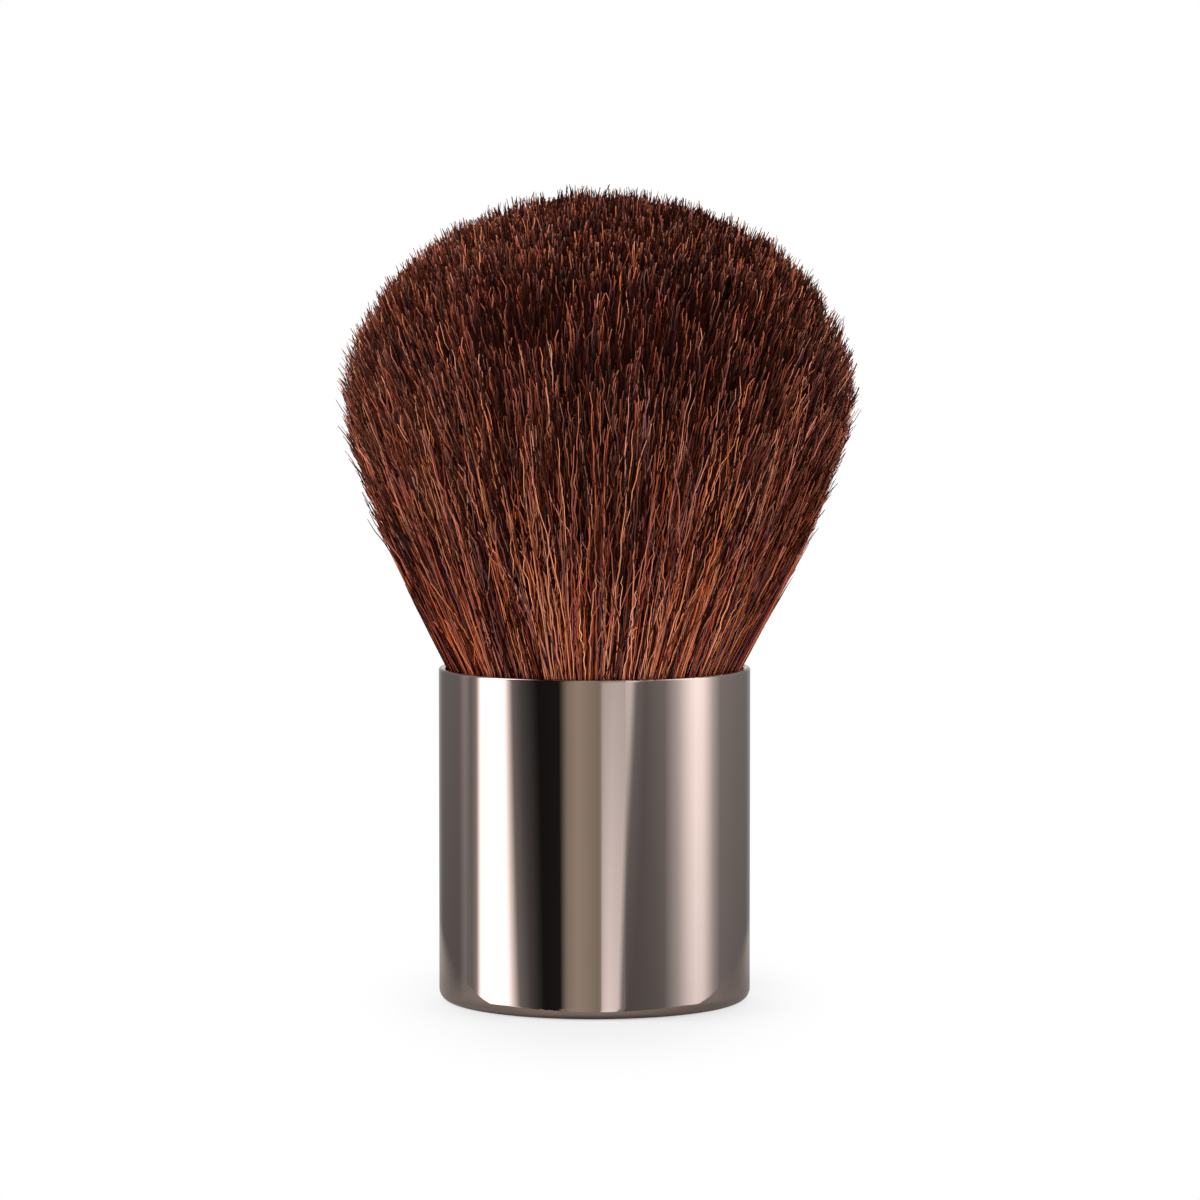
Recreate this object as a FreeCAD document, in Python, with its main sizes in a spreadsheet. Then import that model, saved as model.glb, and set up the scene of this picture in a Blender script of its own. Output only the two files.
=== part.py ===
# Kabuki makeup brush: a short, wide brush that stands on its handle with the hair up.
# A drawn metal cup is the handle. Inside it a moulded cup, bonded on a steel weight, holds the
# hair bundle: its roots are set in epoxy and bound with thread, and the hair fans out over the
# lip of the handle into a dome. Millimetres, +Z up, origin at the middle of the foot.
import FreeCAD
import Part
import Sketcher

import math
import os
import re

# Driving sizes, piece by piece: name, value, what it is. Lengths are in millimetres.
SIZES = [
    # handle shell, a deep-drawn cup of thin plated aluminium
    ("shell_diameter", 28.0, "outside of the handle"),
    ("shell_height", 30.0, "foot to lip"),
    ("shell_wall", 0.6, "drawn side wall"),
    ("shell_floor", 0.8, "drawn base"),
    ("foot_radius", 1.0, "outside rounding between wall and base"),
    ("inside_foot_radius", 0.5, "inside rounding between wall and base"),
    ("lip_share", 0.4, "rounding of both edges of the lip, as a share of the wall"),
    # weight that steadies the brush, and the adhesive under it
    ("pad_thickness", 0.3, "cured adhesive between the base and the weight"),
    ("weight_height", 5.0, "turned steel disc"),
    ("weight_clearance", 0.15, "radial gap between weight and shell"),
    ("corner_clearance", 0.2, "how far the weight's chamfers clear the shell's inside rounding"),
    # hair cup, moulded, and the adhesive ring that bonds it to the shell
    ("mouth_depth", 4.5, "from the lip of the shell down to the mouth of the cup"),
    ("cup_wall", 1.5, "thickness of the cup's lands"),
    ("cup_floor", 2.0, "thickness of the cup's floor"),
    ("cup_clearance", 0.05, "radial gap between the lands and the shell"),
    ("cup_lead_in", 0.6, "chamfer at the cup's outer foot"),
    ("mouth_chamfer", 0.8, "chamfer at the cup's inner mouth, which eases the hair out"),
    ("glue_groove_width", 5.0, "groove round the cup for the adhesive"),
    ("glue_groove_depth", 0.6, "depth of that groove"),
    ("glue_groove_share", 0.5, "middle of the groove, as a share of the cup's height"),
    ("flute_count", 6, "vent flutes down the lands"),
    ("flute_radius", 0.45, "radius of a vent flute"),
    # epoxy plug, cast in the cup round the roots of the hair
    ("plug_height", 5.0, "cast height"),
    ("root_depth", 2.5, "how deep the roots stand in the plug"),
    ("key_height", 1.0, "height of each undercut that keys the plug to the cup"),
    ("key_depth", 0.5, "depth of each undercut"),
    ("key_low_share", 0.25, "middle of the lower undercut, as a share of the plug's height"),
    ("key_high_share", 0.7, "middle of the upper undercut, likewise"),
    # binding thread, wound round the bundle above the plug
    ("thread_diameter", 0.5, "waxed thread"),
    ("thread_pitch", 1.0, "rise of one turn"),
    ("thread_turns", 5, "turns of the binding"),
    ("thread_clearance", 0.05, "gap between thread and hair, and between thread and cup"),
    ("thread_lift", 0.5, "gap between the plug and the first turn"),
    # hair bundle: straight in the cup, fanned above the lip, domed at the mean level of the tips
    ("hair_clearance", 0.15, "radial gap between hair and lip"),
    ("head_diameter", 44.2, "widest part of the hair"),
    ("flare_height", 13.0, "straight part of the fan, from the lip up"),
    ("fan_height", 11.8, "curved part of the fan, from there up to the widest part"),
    ("crown_height", 17.0, "dome, from the widest part up to the top"),
    ("flare_share", 0.66, "how far the straight part spreads, as a share of the fan's spread"),
    ("bulge_share", 0.68, "how far the curved part has spread halfway up, as a share of its spread"),
    ("core_share", 0.4, "core tuft, as a share of the bundle's radius"),
    ("inner_share", 0.72, "outside of the inner ring of tufts, likewise"),
    ("inner_count", 9, "tufts in the inner ring"),
    ("outer_count", 18, "tufts in the outer ring"),
    ("tuft_gap", 0.25, "parting between neighbouring tufts, at the lip"),
    ("tuft_rounding", 0.35, "rounding of the tuft ends on the dome"),
]

doc = FreeCAD.newDocument("kabuki_brush")
sizes = doc.addObject("Spreadsheet::Sheet", "sizes")
for row, (name, value, note) in enumerate(SIZES, start=1):
    sizes.set(f"A{row}", name)
    sizes.set(f"B{row}", str(value))
    sizes.set(f"C{row}", note)
    sizes.setAlias(f"B{row}", name)
doc.recompute()

# Radii and levels that several pieces share, written in the driving sizes.
SHELL_RADIUS = "(shell_diameter / 2)"
BORE = f"({SHELL_RADIUS} - shell_wall)"
PAD_TOP = "(shell_floor + pad_thickness)"
WEIGHT_RADIUS = f"({BORE} - weight_clearance)"
WEIGHT_CHAMFER = "(inside_foot_radius + corner_clearance)"
WEIGHT_TOP = f"({PAD_TOP} + weight_height)"
CUP_RADIUS = f"({BORE} - cup_clearance)"
CUP_BORE = f"({CUP_RADIUS} - cup_wall)"
CUP_FLOOR_TOP = f"({WEIGHT_TOP} + cup_floor)"
CUP_TOP = "(shell_height - mouth_depth)"
GROOVE_RADIUS = f"({CUP_RADIUS} - glue_groove_depth)"
GROOVE_MIDDLE = f"({WEIGHT_TOP} + ({CUP_TOP} - {WEIGHT_TOP}) * glue_groove_share)"
GROOVE_LOW = f"({GROOVE_MIDDLE} - glue_groove_width / 2)"
GROOVE_HIGH = f"({GROOVE_LOW} + glue_groove_width)"
KEY_RADIUS = f"({CUP_BORE} + key_depth)"
PLUG_TOP = f"({CUP_FLOOR_TOP} + plug_height)"
ROOT_LEVEL = f"({PLUG_TOP} - root_depth)"
BUNDLE_RADIUS = f"({CUP_BORE} - thread_diameter - 2 * thread_clearance)"
LIP_RADIUS = f"({BORE} - hair_clearance)"
HEAD_RADIUS = "(head_diameter / 2)"
FLARE_RADIUS = f"({LIP_RADIUS} + ({HEAD_RADIUS} - {LIP_RADIUS}) * flare_share)"
BULGE_RADIUS = f"({FLARE_RADIUS} + ({HEAD_RADIUS} - {FLARE_RADIUS}) * bulge_share)"
FLARE_LEVEL = "(shell_height + flare_height)"
BULGE_LEVEL = f"({FLARE_LEVEL} + fan_height / 2)"
WIDEST_LEVEL = f"({FLARE_LEVEL} + fan_height)"
TOP_LEVEL = f"({WIDEST_LEVEL} + crown_height)"

ALIASES = re.compile(r"\b(" + "|".join(name for name, _, _ in SIZES) + r")\b")


def bound(expression):
    """The expression as an object outside the sheet writes it."""
    return ALIASES.sub(r"sizes.\1", expression)


def worth(expression):
    """What the expression comes to now."""
    return float(sizes.evalExpression(expression))


def origin_feature(body, role):
    return next(f for f in body.Origin.OriginFeatures if f.Role == role)


# Sketched outlines. A point is (x, y), two expressions. A point with four is reached by an arc
# through the place that its last two expressions give. The outline closes on its first point.


def pin(sketch, geometry, place, point):
    """Holds one end of a geometry at a point of the outline."""
    for kind, axis, expression in zip(("DistanceX", "DistanceY"), (-2, -1), point):
        value = worth(expression)
        if value == 0:
            sketch.addConstraint(Sketcher.Constraint("PointOnObject", geometry, place, axis))
        else:
            rule = Sketcher.Constraint(kind, -1, 1, geometry, place, value)
            number = sketch.addConstraint(rule)
            sketch.setExpression(f"Constraints[{number}]", bound(expression))


def draw(body, name, outline, plane="XZ_Plane"):
    """A closed sketch of lines and arcs, every point of it bound to the sizes."""
    sketch = body.newObject("Sketcher::SketchObject", name)
    sketch.AttachmentSupport = [(origin_feature(body, plane), "")]
    sketch.MapMode = "FlatFace"
    corners = [FreeCAD.Vector(worth(p[0]), worth(p[1]), 0) for p in outline]
    ends = []
    for i, point in enumerate(outline):
        start, stop = corners[i - 1], corners[i]
        if len(point) == 2:
            edge = sketch.addGeometry(Part.LineSegment(start, stop), False)
            ends.append((edge, 1, 2))
            continue
        via = FreeCAD.Vector(worth(point[2]), worth(point[3]), 0)
        if (via - start).cross(stop - via).z > 0:
            edge = sketch.addGeometry(Part.Arc(start, via, stop), False)
            ends.append((edge, 1, 2))
        else:
            edge = sketch.addGeometry(Part.Arc(stop, via, start), False)
            ends.append((edge, 2, 1))
        mark = sketch.addGeometry(Part.Point(via), True)
        pin(sketch, mark, 1, point[2:])
        sketch.addConstraint(Sketcher.Constraint("PointOnObject", mark, 1, edge))
    for i, (edge, _, stop) in enumerate(ends):
        following, start, _ = ends[(i + 1) % len(ends)]
        sketch.addConstraint(Sketcher.Constraint("Coincident", edge, stop, following, start))
        pin(sketch, edge, stop, outline[i][:2])
    return sketch


def new_piece(label):
    body = doc.addObject("PartDesign::Body", label)
    body.Label = label
    return body


def turn(body, outline, angle="360"):
    """The outline turned about the brush's axis."""
    sketch = draw(body, "outline", outline)
    turned = body.newObject("PartDesign::Revolution", "turned")
    turned.Profile = sketch
    turned.ReferenceAxis = (sketch, ["V_Axis"])
    turned.setExpression("Angle", bound(angle))
    doc.recompute()
    return turned


def rims(feature, *places):
    """Names of the circular edges at these (radius, level) places."""
    found = []
    for radius, level in places:
        for number, edge in enumerate(feature.Shape.Edges, start=1):
            if edge.Degenerated or not isinstance(edge.Curve, Part.Circle):
                continue
            if math.isclose(edge.Curve.Radius, worth(radius), abs_tol=1e-6):
                if math.isclose(edge.Curve.Center.z, worth(level), abs_tol=1e-6):
                    found.append(f"Edge{number}")
    return found


def ease(body, base, kind, name, size, edges):
    """A Fillet or a Chamfer of these edges."""
    eased = body.newObject(f"PartDesign::{kind}", name)
    eased.Base = (base, edges)
    eased.setExpression("Radius" if kind == "Fillet" else "Size", bound(size))
    doc.recompute()
    return eased


def repeat(body, name, count, features=()):
    """Copies round the brush's axis: of the named features, or of the whole piece."""
    ring = body.newObject("PartDesign::PolarPattern", name)
    ring.TransformMode = "Features" if features else "Whole shape"
    ring.Originals = list(features)
    ring.Axis = (origin_feature(body, "Z_Axis"), [""])
    ring.Angle = 360
    ring.setExpression("Occurrences", bound(count))
    body.Tip = ring
    doc.recompute()
    return ring


def make_handle_shell():
    """Drawn cup, open at the top, with a rounded foot and a rounded lip."""
    body = new_piece("handle_shell")
    cup = turn(body, [
        ("0", "0"),
        (SHELL_RADIUS, "0"),
        (SHELL_RADIUS, "shell_height"),
        (BORE, "shell_height"),
        (BORE, "shell_floor"),
        ("0", "shell_floor"),
    ])
    foot = ease(body, cup, "Fillet", "foot", "foot_radius", rims(cup, (SHELL_RADIUS, "0")))
    inside = rims(foot, (BORE, "shell_floor"))
    inner_foot = ease(body, foot, "Fillet", "inside_foot", "inside_foot_radius", inside)
    lip = rims(inner_foot, (SHELL_RADIUS, "shell_height"), (BORE, "shell_height"))
    ease(body, inner_foot, "Fillet", "lip", "shell_wall * lip_share", lip)
    return body


def make_weight_adhesive():
    """Disc of cured adhesive, as wide as the weight's flat underside."""
    body = new_piece("weight_adhesive")
    flat = f"({WEIGHT_RADIUS} - {WEIGHT_CHAMFER})"
    turn(body, [("0", "shell_floor"), (flat, "shell_floor"), (flat, PAD_TOP), ("0", PAD_TOP)])
    return body


def make_base_weight():
    """Turned steel disc, chamfered to clear the rounded corner of the shell."""
    body = new_piece("base_weight")
    corners = [("0", PAD_TOP), (WEIGHT_RADIUS, PAD_TOP), (WEIGHT_RADIUS, WEIGHT_TOP), ("0", WEIGHT_TOP)]
    disc = turn(body, corners)
    edges = rims(disc, (WEIGHT_RADIUS, PAD_TOP), (WEIGHT_RADIUS, WEIGHT_TOP))
    ease(body, disc, "Chamfer", "edges", WEIGHT_CHAMFER, edges)
    return body


def key_levels(share):
    """Bottom and top of an undercut between cup and plug."""
    middle = f"({CUP_FLOOR_TOP} + plug_height * {share})"
    return f"({middle} - key_height / 2)", f"({middle} + key_height / 2)"


def keyed_wall():
    """The wall that plug and cup share, from the cup's floor up, with its two undercuts."""
    wall = [(CUP_BORE, CUP_FLOOR_TOP)]
    for share in ("key_low_share", "key_high_share"):
        low, high = key_levels(share)
        wall += [(CUP_BORE, low), (KEY_RADIUS, low), (KEY_RADIUS, high), (CUP_BORE, high)]
    return wall


def make_hair_cup():
    """Moulded cup with a glue groove, vent flutes and undercuts that key the plug."""
    body = new_piece("hair_cup")
    cup = turn(body, [
        ("0", WEIGHT_TOP),
        (CUP_RADIUS, WEIGHT_TOP),
        (CUP_RADIUS, GROOVE_LOW),
        (GROOVE_RADIUS, GROOVE_LOW),
        (GROOVE_RADIUS, GROOVE_HIGH),
        (CUP_RADIUS, GROOVE_HIGH),
        (CUP_RADIUS, CUP_TOP),
        (CUP_BORE, CUP_TOP),
        *reversed(keyed_wall()),
        ("0", CUP_FLOOR_TOP),
    ])
    lead_in = ease(body, cup, "Chamfer", "lead_in", "cup_lead_in", rims(cup, (CUP_RADIUS, WEIGHT_TOP)))
    mouth = ease(body, lead_in, "Chamfer", "mouth", "mouth_chamfer", rims(lead_in, (CUP_BORE, CUP_TOP)))

    sketch = body.newObject("Sketcher::SketchObject", "flute_outline")
    sketch.AttachmentSupport = [(origin_feature(body, "XY_Plane"), "")]
    sketch.MapMode = "FlatFace"
    middle = FreeCAD.Vector(worth(CUP_RADIUS), 0, 0)
    up = FreeCAD.Vector(0, 0, 1)
    circle = sketch.addGeometry(Part.Circle(middle, up, worth("flute_radius")), False)
    radius = sketch.addConstraint(Sketcher.Constraint("Radius", circle, worth("flute_radius")))
    sketch.setExpression(f"Constraints[{radius}]", bound("flute_radius"))
    pin(sketch, circle, 3, (CUP_RADIUS, "0"))
    flute = body.newObject("PartDesign::Pocket", "flute")
    flute.Profile = sketch
    flute.Type = "ThroughAll"
    flute.Reversed = True
    doc.recompute()
    assert flute.Shape.Volume < mouth.Shape.Volume, "the flute cuts nothing"
    repeat(body, "flutes", "flute_count", [flute])
    return body


def make_cup_adhesive():
    """Ring of cured adhesive in the cup's groove, which bonds the cup to the shell."""
    body = new_piece("cup_adhesive")
    turn(body, [
        (GROOVE_RADIUS, GROOVE_LOW),
        (BORE, GROOVE_LOW),
        (BORE, GROOVE_HIGH),
        (GROOVE_RADIUS, GROOVE_HIGH),
    ])
    return body


def inside_of(share):
    """How a radius of the bundle becomes the inner side of a ring of tufts."""
    return lambda radius: f"({radius} * {share} + tuft_gap / 2)"


def outside_of(share):
    """How a radius of the bundle becomes the outer side of a tuft."""
    return lambda radius: f"({radius} * {share} - tuft_gap / 2)"


def whole(radius):
    """The outside of the bundle itself."""
    return radius


def make_epoxy_plug():
    """Cast plug: it fills the cup's foot and keys, with a socket for each ring of roots."""
    body = new_piece("epoxy_plug")
    partings = [
        (whole(BUNDLE_RADIUS), inside_of("inner_share")(BUNDLE_RADIUS)),
        (outside_of("inner_share")(BUNDLE_RADIUS), inside_of("core_share")(BUNDLE_RADIUS)),
    ]
    top = [(CUP_BORE, PLUG_TOP)]
    for outer, inner in partings:
        top += [(outer, PLUG_TOP), (outer, ROOT_LEVEL), (inner, ROOT_LEVEL), (inner, PLUG_TOP)]
    core = outside_of("core_share")(BUNDLE_RADIUS)
    top += [(core, PLUG_TOP), (core, ROOT_LEVEL), ("0", ROOT_LEVEL)]
    turn(body, [("0", CUP_FLOOR_TOP), *keyed_wall(), *top])
    return body


def biarc(start, heading, stop, arriving):
    """Two arcs, tangent to each other, that leave start along heading and reach stop along arriving."""
    span = stop - start
    both = heading + arriving
    turning = 2 * (1 - heading.dot(arriving))
    along = span.dot(both)
    reach = (math.sqrt(along * along + turning * span.dot(span)) - along) / turning
    corners = start + heading * reach, stop - arriving * reach
    joint = (corners[0] + corners[1]) / 2
    arcs = []
    for first, corner, last in ((start, corners[0], joint), (joint, corners[1], stop)):
        chord_middle = (first + last) / 2
        sagitta = corner - chord_middle
        half_chord = (last - first).Length / 2
        side = (corner - first).Length
        bulge = half_chord * sagitta.Length / (side + half_chord)
        arcs.append(Part.Arc(first, chord_middle + sagitta.normalize() * bulge, last).toShape())
    return arcs


def make_root_binding():
    """Waxed thread wound round the bundle: one tube on quarter-turn biarcs, with straight ends."""
    thread = worth("thread_diameter")
    pitch = worth("thread_pitch")
    radius = worth(f"{BUNDLE_RADIUS} + thread_clearance + thread_diameter / 2")
    lowest = worth(f"{PLUG_TOP} + thread_lift + thread_diameter / 2")
    steps_per_turn = 4
    steps = int(worth("thread_turns")) * steps_per_turn

    def place(step):
        angle = 2 * math.pi * step / steps_per_turn
        rise = pitch * step / steps_per_turn
        return FreeCAD.Vector(radius * math.cos(angle), radius * math.sin(angle), lowest + rise)

    def heading(step):
        angle = 2 * math.pi * step / steps_per_turn
        around = FreeCAD.Vector(-radius * math.sin(angle), radius * math.cos(angle), pitch / (2 * math.pi))
        return around.normalize()

    edges = []
    for step in range(steps):
        edges += biarc(place(step), heading(step), place(step + 1), heading(step + 1))
    tail = place(0) - heading(0) * thread
    edges.insert(0, Part.LineSegment(tail, place(0)).toShape())
    edges.append(Part.LineSegment(place(steps), place(steps) + heading(steps) * thread).toShape())
    path = Part.Wire(edges)
    section = Part.Wire(Part.Circle(tail, heading(0), thread / 2).toShape())
    binding = doc.addObject("Part::Feature", "root_binding")
    binding.Label = "root_binding"
    binding.Shape = path.makePipeShell([section], True, False)
    binding.Placement = FreeCAD.Placement()

    line = [point for edge in edges for point in edge.discretize(Number=13)]
    per_turn = len(line) // int(worth("thread_turns"))
    apart = min(
        (line[i] - line[j]).Length
        for i in range(len(line))
        for j in range(i + per_turn // 2, len(line))
    )
    drawn = path.Length * math.pi * thread * thread / 4
    print(f"binding: {path.Length:.1f} mm of thread, least gap {apart - thread:.2f} mm, "
          f"volume {binding.Shape.Volume:.2f} of {drawn:.2f} mm3")
    return binding


def on_dome(radius):
    """Height of the dome, a half ellipse, at this radius."""
    return f"({WIDEST_LEVEL} + crown_height * sqrt(1 - ({radius} / {HEAD_RADIUS}) ^ 2))"


def fan(side):
    """One side of a tuft, from its root up to where the fan stands upright."""
    return [
        (side(BUNDLE_RADIUS), ROOT_LEVEL),
        (side(BUNDLE_RADIUS), CUP_TOP),
        (side(LIP_RADIUS), "shell_height"),
        (side(FLARE_RADIUS), FLARE_LEVEL),
        (side(HEAD_RADIUS), WIDEST_LEVEL, side(BULGE_RADIUS), BULGE_LEVEL),
    ]


def backwards(points):
    """The same line drawn from its other end: each arc's middle moves to its other point."""
    turned = []
    via = ()
    for point in reversed(points):
        turned.append((*point[:2], *via))
        via = point[2:]
    return turned


def make_core_tuft():
    """The tuft on the axis, which carries the top of the dome."""
    body = new_piece("core_tuft")
    side = outside_of("core_share")
    rim = side(HEAD_RADIUS)
    halfway = f"({rim} / 2)"
    tuft = turn(body, [
        ("0", ROOT_LEVEL),
        *fan(side),
        (rim, on_dome(rim)),
        ("0", TOP_LEVEL, halfway, on_dome(halfway)),
    ])
    ease(body, tuft, "Fillet", "tip", "tuft_rounding", rims(tuft, (rim, on_dome(rim))))
    return body


def make_tuft_ring(label, inner, outer, count):
    """A ring of equal tufts between two sides of the fan, parted by narrow gaps."""
    body = new_piece(label)
    near = inner(HEAD_RADIUS)
    far = outer(HEAD_RADIUS)
    middle = f"(({near} + {far}) / 2)"
    shoulder = [] if outer is whole else [(far, on_dome(far))]
    down = backwards(fan(inner))
    parting = f"(tuft_gap / {outer(LIP_RADIUS)} * 180 / pi)"
    tuft = turn(body, [
        *fan(outer),
        *shoulder,
        (near, on_dome(near), middle, on_dome(middle)),
        *down,
    ], f"360 / {count} - {parting}")
    ease(body, tuft, "Fillet", "tip", "tuft_rounding", rims(tuft, (near, on_dome(near))))
    repeat(body, "ring", count)
    return body


pieces = [
    make_handle_shell(),
    make_weight_adhesive(),
    make_base_weight(),
    make_hair_cup(),
    make_cup_adhesive(),
    make_epoxy_plug(),
    make_root_binding(),
    make_core_tuft(),
    make_tuft_ring("inner_tufts", inside_of("core_share"), outside_of("inner_share"), "inner_count"),
    make_tuft_ring("outer_tufts", inside_of("inner_share"), whole, "outer_count"),
]
doc.recompute()

for thing in doc.Objects:
    if {"Invalid", "Error"} & set(thing.State):
        raise RuntimeError(f"{thing.Name} failed: {thing.State}")
for piece in pieces:
    if piece.Shape.isNull() or not piece.Shape.isValid():
        raise RuntimeError(f"{piece.Label} has no valid shape")

os.makedirs("parts", exist_ok=True)
for piece in pieces:
    piece.Shape.exportStep(f"parts/{piece.Label}.step")
    print(f"{piece.Label}: {len(piece.Shape.Solids)} solids, {piece.Shape.Volume:.1f} mm3")
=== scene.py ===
import math

import bmesh
import bpy
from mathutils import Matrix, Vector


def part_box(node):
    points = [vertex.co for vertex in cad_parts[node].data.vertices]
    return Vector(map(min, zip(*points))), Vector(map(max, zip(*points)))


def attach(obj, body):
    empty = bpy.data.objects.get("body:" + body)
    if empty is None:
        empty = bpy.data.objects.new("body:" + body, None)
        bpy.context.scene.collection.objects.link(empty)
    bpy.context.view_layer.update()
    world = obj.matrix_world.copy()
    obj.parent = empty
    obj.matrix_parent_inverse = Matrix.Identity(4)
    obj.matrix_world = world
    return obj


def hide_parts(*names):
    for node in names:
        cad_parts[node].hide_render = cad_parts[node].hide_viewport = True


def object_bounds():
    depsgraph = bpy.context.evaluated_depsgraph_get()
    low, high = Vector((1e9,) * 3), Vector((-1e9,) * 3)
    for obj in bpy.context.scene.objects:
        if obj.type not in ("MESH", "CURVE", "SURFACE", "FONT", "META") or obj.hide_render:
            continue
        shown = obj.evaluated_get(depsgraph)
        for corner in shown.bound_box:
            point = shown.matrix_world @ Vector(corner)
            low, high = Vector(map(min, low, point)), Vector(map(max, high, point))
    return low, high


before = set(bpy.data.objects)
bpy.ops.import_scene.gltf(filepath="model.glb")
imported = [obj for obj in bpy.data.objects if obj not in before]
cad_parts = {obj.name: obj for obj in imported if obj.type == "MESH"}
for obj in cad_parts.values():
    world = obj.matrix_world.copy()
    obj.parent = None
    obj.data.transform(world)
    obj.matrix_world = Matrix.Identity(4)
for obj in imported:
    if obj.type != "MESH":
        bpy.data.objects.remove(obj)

cad_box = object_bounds()


# Handle shell
# A deep-drawn aluminium cup, open at the top, polished to a mirror and plated a warm dark nickel.
# Its side is one plain cylinder; the foot and the lip are rounded by the draw and the polish.


class Wire:
    """A socket that does maths: each operator adds the Math or Vector Math node it needs."""

    def __init__(self, graph, socket):
        self.graph = graph
        self.socket = socket

    def is_vector(self):
        return self.socket.type in ("VECTOR", "RGBA")

    def operate(self, operation, left, right):
        vectors = [w for w in (left, right) if isinstance(w, Wire) and w.is_vector()]
        if not vectors:
            return self.graph.add("ShaderNodeMath", {"operation": operation}, [left, right])
        if operation == "MULTIPLY":
            factor = right if left is vectors[0] else left
            return self.graph.add("ShaderNodeVectorMath", {"operation": "SCALE"}, [vectors[0], factor])
        return self.graph.add("ShaderNodeVectorMath", {"operation": operation}, [left, right])

    def __add__(self, other):
        return self.operate("ADD", self, other)

    __radd__ = __add__

    def __sub__(self, other):
        return self.operate("SUBTRACT", self, other)

    def __rsub__(self, other):
        return self.operate("SUBTRACT", other, self)

    def __mul__(self, other):
        return self.operate("MULTIPLY", self, other)

    __rmul__ = __mul__

    def __truediv__(self, other):
        return self.operate("DIVIDE", self, other)

    def __pow__(self, power):
        return self.operate("POWER", self, power)

    def __gt__(self, other):
        return self.operate("GREATER_THAN", self, other)


class Graph:
    """A node tree that is filled from Python."""

    def __init__(self, tree):
        self.tree = tree
        tree.nodes.clear()

    def add(self, kind, settings=None, inputs=(), output=0):
        """Adds a node: its settings first, then its sockets' values or links. Returns one output."""
        node = self.tree.nodes.new(kind)
        for name, value in (settings or {}).items():
            if name == "stops":
                set_stops(node.color_ramp, value)
            else:
                setattr(node, name, value)
        shown = [s for s in node.inputs if s.enabled]
        for key, value in inputs.items() if isinstance(inputs, dict) else enumerate(inputs):
            socket = shown[key] if isinstance(key, int) else next(s for s in shown if s.name == key)
            if isinstance(value, Wire):
                self.tree.links.new(value.socket, socket)
            else:
                socket.default_value = value
        given = [s for s in node.outputs if s.enabled]
        if not given:
            return None
        return Wire(self, given[output] if isinstance(output, int) else node.outputs[output])

    def function(self, operation, *values):
        """A Math node with no operator of its own, such as SINE."""
        return self.add("ShaderNodeMath", {"operation": operation}, values)

    def vector(self, x, y, z):
        return self.add("ShaderNodeCombineXYZ", None, [x, y, z])

    def blend(self, factor, first, second):
        """One colour fading into another."""
        settings = {"data_type": "RGBA"}
        return self.add("ShaderNodeMix", settings, {"Factor": factor, "A": first, "B": second})


def set_stops(ramp, stops):
    """A ramp's stops, as (place, colour)."""
    while len(ramp.elements) < len(stops):
        ramp.elements.new(1.0)
    for element, (place, colour) in zip(ramp.elements, stops):
        element.position = place
        element.color = (*colour, 1.0)


def new_material(name):
    material = bpy.data.materials.new(name)
    material.use_nodes = True
    return material, Graph(material.node_tree)


def surface(graph, **sockets):
    """Ends a material in one principled surface. Underscores in names stand for spaces."""
    named = {key.replace("_", " "): value for key, value in sockets.items()}
    shader = graph.add("ShaderNodeBsdfPrincipled", None, named)
    graph.add("ShaderNodeOutputMaterial", None, {"Surface": shader})


def dress(node, material):
    """Gives a piece of the frame its finish."""
    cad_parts[node].data.materials.clear()
    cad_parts[node].data.materials.append(material)


def polished_gunmetal():
    material, graph = new_material("polished_gunmetal")
    place = graph.add("ShaderNodeTexCoord", output="Object")
    cloud = graph.add("ShaderNodeTexNoise", None, {"Vector": place, "Scale": 60.0, "Detail": 3.0})
    wipe = graph.add("ShaderNodeTexNoise", None, {"Vector": place, "Scale": 900.0, "Detail": 2.0})
    plating = graph.blend(cloud, (0.44, 0.352, 0.322, 1), (0.48, 0.385, 0.355, 1))
    surface(graph, Base_Color=plating, Metallic=1.0, Roughness=0.02 + 0.02 * cloud + 0.01 * wipe)
    return material


dress("handle_shell", polished_gunmetal())


# Sealed pieces in the handle
# A turned steel weight, the moulded hair cup, cast epoxy, binding thread and two beds of adhesive.
# They are bonded one on another inside the shell, where the hair and the shell hide them.


def plain_finish(name, dark, light, scale, roughness, metallic=0.0):
    """A finish whose colour and gloss drift between two values over a few millimetres."""
    material, graph = new_material(name)
    place = graph.add("ShaderNodeTexCoord", output="Object")
    drift = graph.add("ShaderNodeTexNoise", None, {"Vector": place, "Scale": scale, "Detail": 4.0})
    colour = graph.blend(drift, (*dark, 1), (*light, 1))
    surface(graph, Base_Color=colour, Metallic=metallic, Roughness=roughness + 0.15 * drift)
    return material


adhesive = plain_finish("cured_adhesive", (0.55, 0.48, 0.34), (0.66, 0.60, 0.45), 300.0, 0.25)
dress("weight_adhesive", adhesive)
dress("cup_adhesive", adhesive)
dress("base_weight", plain_finish("turned_steel", (0.45, 0.45, 0.46), (0.60, 0.60, 0.61), 500.0, 0.25, 1.0))
dress("hair_cup", plain_finish("moulded_black", (0.012, 0.012, 0.013), (0.022, 0.022, 0.023), 800.0, 0.45))
dress("epoxy_plug", plain_finish("cast_epoxy", (0.36, 0.20, 0.07), (0.48, 0.29, 0.11), 200.0, 0.15))
dress("root_binding", plain_finish("waxed_thread", (0.50, 0.42, 0.31), (0.64, 0.56, 0.44), 2500.0, 0.6))


# Hair
# Thousands of black-brown, red-brown and copper hairs, tied and cast at the root. They leave the
# lip as a straight fan and end in a dome, cut by eye, so that the tips are ragged and clump.

MM = 0.001
LIP_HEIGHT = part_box("handle_shell")[1].z
LIP_SPREAD = 13.25 * MM
ROOT_HEIGHT = LIP_HEIGHT - 1.5 * MM
ROOT_RADIUS = 12.3 * MM
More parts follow.
